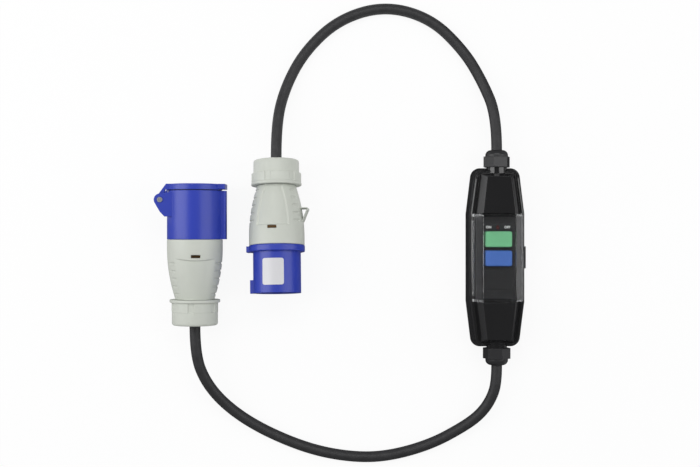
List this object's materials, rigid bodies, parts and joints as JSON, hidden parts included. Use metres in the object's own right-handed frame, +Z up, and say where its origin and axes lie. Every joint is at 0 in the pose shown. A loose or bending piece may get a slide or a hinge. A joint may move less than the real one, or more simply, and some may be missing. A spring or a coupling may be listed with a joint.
{
  "type": "residual current breaker extension lead",
  "caption": "In-line residual current breaker in a flat case with a hinged clear cover, cabled to a three-pin industrial plug and a lidded industrial connector",
  "frame": {"origin": "centre of the breaker case's flat back, which lies on the floor", "axes": "+Z up out of the floor and out of the case's face, +Y along the case towards the cable from the plug, +X to the right in the picture, with plug and connector on the -X side"},
  "size_m": [0.3394, 0.4278, 0.0545],
  "materials": {
    "grey_nylon": "moulded, fine satin grain",
    "blue_nylon": "moulded, semi-gloss",
    "black_case": "moulded, glossy",
    "clear_cover": "clear moulded polycarbonate",
    "green_button": "moulded, satin",
    "blue_button": "moulded, satin",
    "face_plate": "satin sheet",
    "window_lens": "clear lens",
    "flag": "moulded",
    "black_nylon": "moulded, satin",
    "seal_rubber": "moulded seal",
    "cable_rubber": "matt cable sheath",
    "label_film": "printed film, bare",
    "brass": "turned and nickel free",
    "copper": "copper strip",
    "steel": "plated",
    "spring_steel": "drawn wire",
    "board_green": "glass epoxy laminate",
    "component_black": "moulded component bodies",
    "coil_copper": "wound and varnished"
  },
  "bodies": {
    "main": {"rcd_lower_shell": "black_case", "rcd_upper_shell": "black_case", "case_gasket": "seal_rubber", "case_screws": "steel", "cover_hinge_pins": "steel", "faceplate": "face_plate", "status_window": "window_lens", "reset_spring": "spring_steel", "test_spring": "spring_steel", "fixed_contacts": "copper", "circuit_board": "board_green", "board_parts": "component_black", "sensing_toroid": "coil_copper", "trip_solenoid": "coil_copper", "rcd_terminals": "brass", "rcd_terminal_screws": "steel", "rcd_cable_ends": "cable_rubber", "line_gland_body": "black_nylon", "line_gland_nut": "black_nylon", "line_gland_seal": "seal_rubber", "load_gland_body": "black_nylon", "load_gland_nut": "black_nylon", "load_gland_seal": "seal_rubber", "plug_cap_nut": "grey_nylon", "plug_cord_seal": "seal_rubber", "plug_cord_clamp": "black_nylon", "plug_cable_end": "cable_rubber", "plug_housing": "grey_nylon", "plug_catch": "spring_steel", "plug_shroud": "blue_nylon", "plug_pin_carrier": "blue_nylon", "plug_live_pins": "brass", "plug_earth_pin": "brass", "plug_label": "label_film", "socket_cap_nut": "grey_nylon", "socket_cord_seal": "seal_rubber", "socket_cord_clamp": "black_nylon", "socket_cable_end": "cable_rubber", "socket_housing": "grey_nylon", "socket_catch": "spring_steel", "socket_barrel": "blue_nylon", "socket_contact_block": "blue_nylon", "socket_live_contacts": "brass", "socket_earth_contact": "brass", "lid_hinge_pin": "steel", "lid_spring": "spring_steel", "clamp_screws": "steel", "contact_screws": "steel", "line_cord": "cable_rubber", "load_cord": "cable_rubber"},
    "lid": {"socket_lid": "blue_nylon", "lid_gasket": "seal_rubber"},
    "cover": {"clear_cover": "clear_cover"},
    "reset": {"reset_button": "green_button"},
    "test": {"test_button": "blue_button"},
    "contacts": {"contact_carriage": "black_nylon", "moving_contacts": "copper"},
    "plunger": {"trip_plunger": "steel"},
    "flag": {"status_flag": "flag"}
  },
  "joints": [
    {"name": "lid_hinge", "type": "hinge", "parent": "main", "child": "lid", "pos_m": [-0.3065, 0.0527, 0.0253], "axis": [0, 0, 1], "range_deg": [0, 115], "stiffness_Nm_per_rad": 0.02, "springref_deg": -34.38, "deforming": ["lid_spring"]},
    {"name": "cover_hinge", "type": "hinge", "parent": "main", "child": "cover", "pos_m": [-0.0224, 0, 0.0262], "axis": [0, -1, 0], "range_deg": [0, 110]},
    {"name": "reset_press", "type": "slide", "parent": "main", "child": "reset", "axis": [0, 0, -1], "range_m": [0, 0.002], "stiffness_N_per_m": 400, "springref_m": -0.003, "deforming": ["reset_spring"]},
    {"name": "test_press", "type": "slide", "parent": "main", "child": "test", "axis": [0, 0, -1], "range_m": [0, 0.002], "stiffness_N_per_m": 400, "springref_m": -0.003, "deforming": ["test_spring"]},
    {"name": "contact_slide", "type": "slide", "parent": "main", "child": "contacts", "axis": [0, -1, 0], "range_m": [0, 0.003]},
    {"name": "plunger_slide", "type": "slide", "parent": "main", "child": "plunger", "axis": [0, -1, 0], "range_m": [0, 0.003]},
    {"name": "flag_slide", "type": "slide", "parent": "main", "child": "flag", "axis": [-1, 0, 0], "range_m": [0, 0.005]}
  ],
  "couplings": [
    {"joint": "plunger_slide", "follows": "contact_slide", "ratio": 1},
    {"joint": "flag_slide", "follows": "contact_slide", "ratio": 1.6667}
  ]
}
